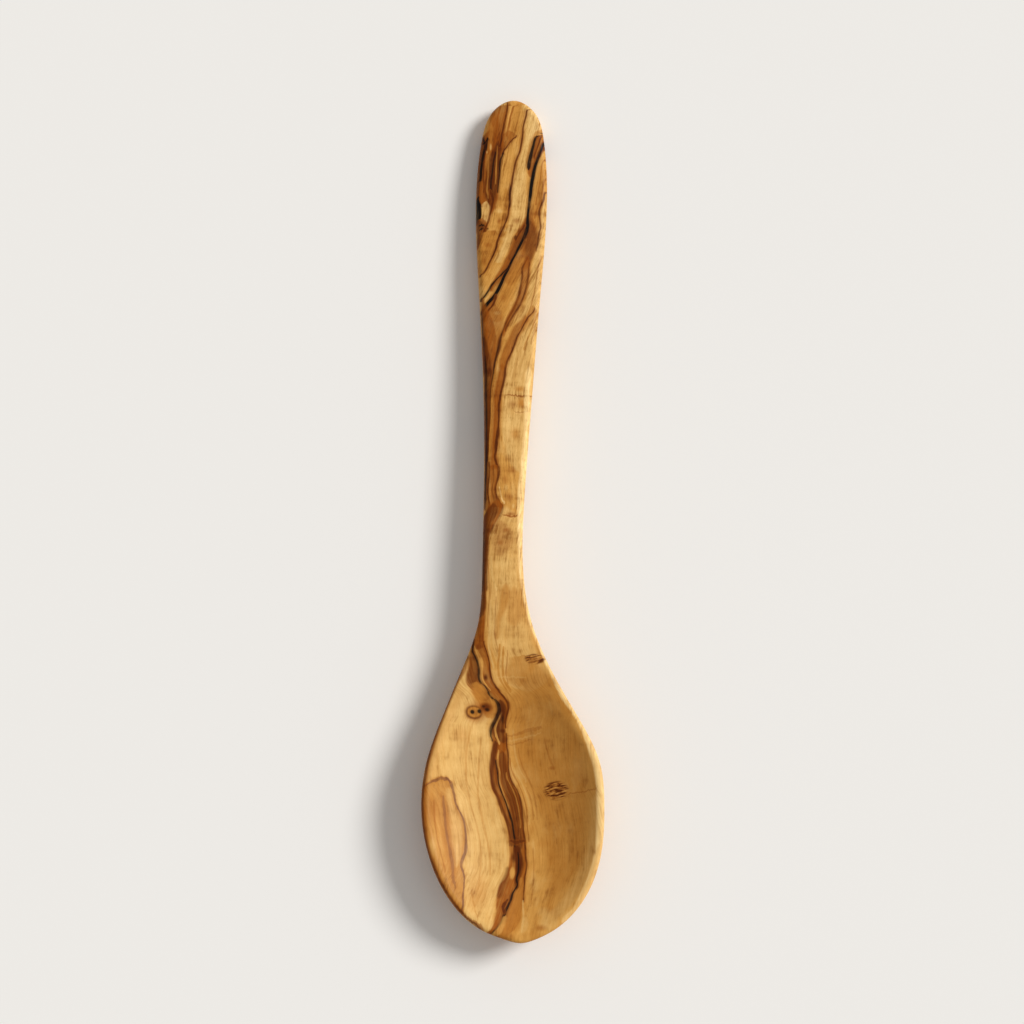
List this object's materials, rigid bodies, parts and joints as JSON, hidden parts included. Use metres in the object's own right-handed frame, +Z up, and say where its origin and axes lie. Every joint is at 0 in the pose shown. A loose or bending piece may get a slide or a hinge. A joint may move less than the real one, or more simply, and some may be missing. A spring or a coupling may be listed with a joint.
{
  "type": "wooden spoon",
  "caption": "One-piece carved olive-wood cooking spoon: shallow egg-shaped bowl, slim neck and a flat handle that widens towards its rounded end.",
  "frame": {"origin": "centre of the bounding box, at its bottom: the surface that the spoon lies on", "axes": "+Y along the spoon from the bowl's tip towards the end of the handle, +Z up out of the bowl's hollow, +X to the right seen from above with the handle pointing away"},
  "size_m": [0.0634, 0.305, 0.016],
  "materials": {
    "olive_wood": "oiled, satin, with strong dark figure"
  },
  "bodies": {
    "root": {"spoon": "olive_wood"}
  },
  "joints": []
}
